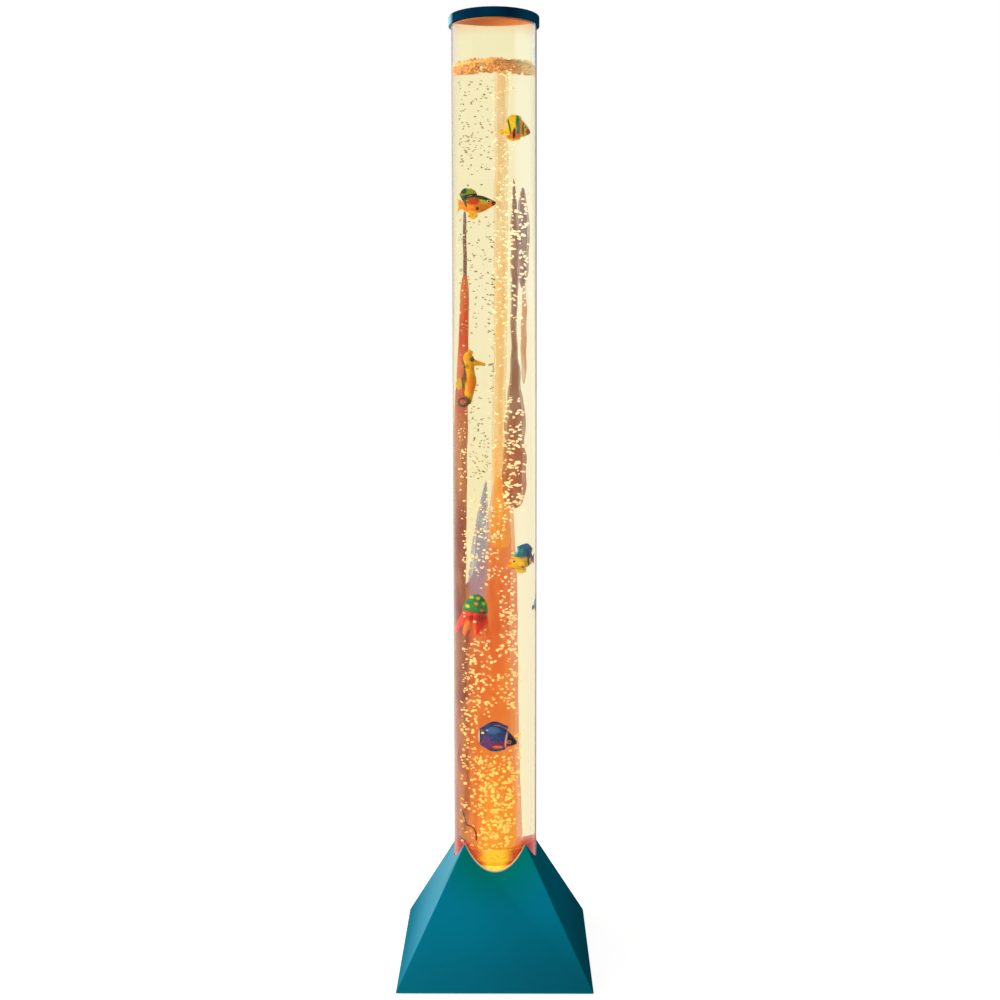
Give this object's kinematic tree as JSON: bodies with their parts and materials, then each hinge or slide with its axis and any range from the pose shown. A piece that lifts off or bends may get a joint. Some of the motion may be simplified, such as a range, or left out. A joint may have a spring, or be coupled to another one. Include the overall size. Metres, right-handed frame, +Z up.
{
  "type": "bubble tube floor lamp",
  "caption": "Clear water tube on a square pyramid base, lit from below, with a lift-off cap, rising air bubbles and toy fish.",
  "frame": {"origin": "on the floor under the middle of the base", "axes": "+Z up the tube, -Y towards the front face, +Y towards the rear panel"},
  "size_m": [0.182, 0.182, 0.9],
  "materials": {
    "blue_green_plastic": "satin moulded, blue-green",
    "blue_plastic": "satin moulded, dark blue",
    "black_plastic": "fine moulded grain",
    "black_rubber": "matt",
    "clear_acrylic": "clear acrylic, polished",
    "nozzle_brass": "turned",
    "porous_grey": "sintered, porous",
    "white_plastic": "moulded, white",
    "board_white": "white solder mask",
    "led_yellow": "LED package",
    "board_green": "green solder mask",
    "ivory_plastic": "nylon, ivory",
    "grey_plastic": "moulded, dark grey",
    "core_iron": "laminated sheet edges",
    "copper_winding": "varnished winding",
    "screw_steel": "zinc plated",
    "hose_clear": "silicone hose, milky",
    "lead_red": "sheathed lead",
    "fish_yellow": "painted toy fish",
    "fish_orange": "painted toy fish",
    "fish_red": "painted toy jellyfish",
    "fish_violet": "painted toy fish",
    "fish_teal": "painted toy fish"
  },
  "bodies": {
    "lamp": {"base_shell": "blue_green_plastic", "bottom_plate": "black_plastic", "plate_screws": "screw_steel", "rubber_feet": "black_rubber", "tube_socket": "white_plastic", "socket_screws": "screw_steel", "tube": "clear_acrylic", "tube_plug": "clear_acrylic", "plug_ring": "black_rubber", "air_nozzle": "nozzle_brass", "nozzle_washer": "black_rubber", "nozzle_nut": "nozzle_brass", "bubble_head": "porous_grey", "led_tray": "white_plastic", "tray_screws": "screw_steel", "led_board": "board_white", "leds": "led_yellow", "board_screws": "screw_steel", "pump_case": "grey_plastic", "pump_lid": "grey_plastic", "pump_screws": "screw_steel", "pump_pads": "black_rubber", "pump_core": "core_iron", "pump_coil": "copper_winding", "arm_pin": "screw_steel", "diaphragm": "black_rubber", "valve_block": "ivory_plastic", "pump_hose": "hose_clear", "check_valve": "white_plastic", "nozzle_hose": "hose_clear", "control_board": "board_green", "board_parts": "ivory_plastic", "control_screws": "screw_steel", "tact_switch": "black_plastic", "button_spring": "screw_steel", "dc_socket": "black_plastic", "dc_nut": "screw_steel", "jack_lead": "lead_red", "pump_lead": "lead_red", "led_lead": "lead_red"},
    "cap": {"top_cap": "blue_plastic", "cap_liner": "white_plastic"},
    "button": {"push_button": "white_plastic"},
    "swing_arm": {"pump_arm": "ivory_plastic", "arm_magnet": "core_iron"},
    "striped_fish": {"fish_1": "fish_yellow"},
    "green_back_fish": {"fish_2": "fish_orange"},
    "seahorse": {"fish_3": "fish_yellow"},
    "blue_top_fish": {"fish_4": "fish_yellow"},
    "jellyfish": {"fish_5": "fish_red"},
    "violet_fish": {"fish_6": "fish_violet"},
    "teal_fish": {"fish_7": "fish_teal"}
  },
  "joints": [
    {"name": "cap_lift", "type": "slide", "parent": "lamp", "child": "cap", "axis": [0, 0, 1], "range_m": [0, 0.12]},
    {"name": "button_press", "type": "slide", "parent": "lamp", "child": "button", "axis": [0, -1, 0], "range_m": [0, 0.0015], "stiffness_N_per_m": 400, "deforming": ["button_spring"]},
    {"name": "arm_swing", "type": "hinge", "parent": "lamp", "child": "swing_arm", "pos_m": [-0.01445, 0.023, 0.023], "axis": [0, 0, 1], "range_deg": [-1.5, 1.5], "stiffness_Nm_per_rad": 0.6, "deforming": ["diaphragm"]},
    {"name": "striped_fish_float", "type": "slide", "parent": "lamp", "child": "striped_fish", "axis": [0, 0, 1], "range_m": [-0.15, 0.044]},
    {"name": "green_back_fish_float", "type": "slide", "parent": "lamp", "child": "green_back_fish", "axis": [0, 0, 1], "range_m": [-0.06, 0.11]},
    {"name": "seahorse_float", "type": "slide", "parent": "lamp", "child": "seahorse", "axis": [0, 0, 1], "range_m": [-0.06, 0.05]},
    {"name": "blue_top_fish_float", "type": "slide", "parent": "lamp", "child": "blue_top_fish", "axis": [0, 0, 1], "range_m": [-0.005, 0.15]},
    {"name": "jellyfish_float", "type": "slide", "parent": "lamp", "child": "jellyfish", "axis": [0, 0, 1], "range_m": [-0.06, 0.09]},
    {"name": "violet_fish_float", "type": "slide", "parent": "lamp", "child": "violet_fish", "axis": [0, 0, 1], "range_m": [-0.08, 0.014]},
    {"name": "teal_fish_float", "type": "slide", "parent": "lamp", "child": "teal_fish", "axis": [0, 0, 1], "range_m": [-0.2, 0.014]}
  ]
}
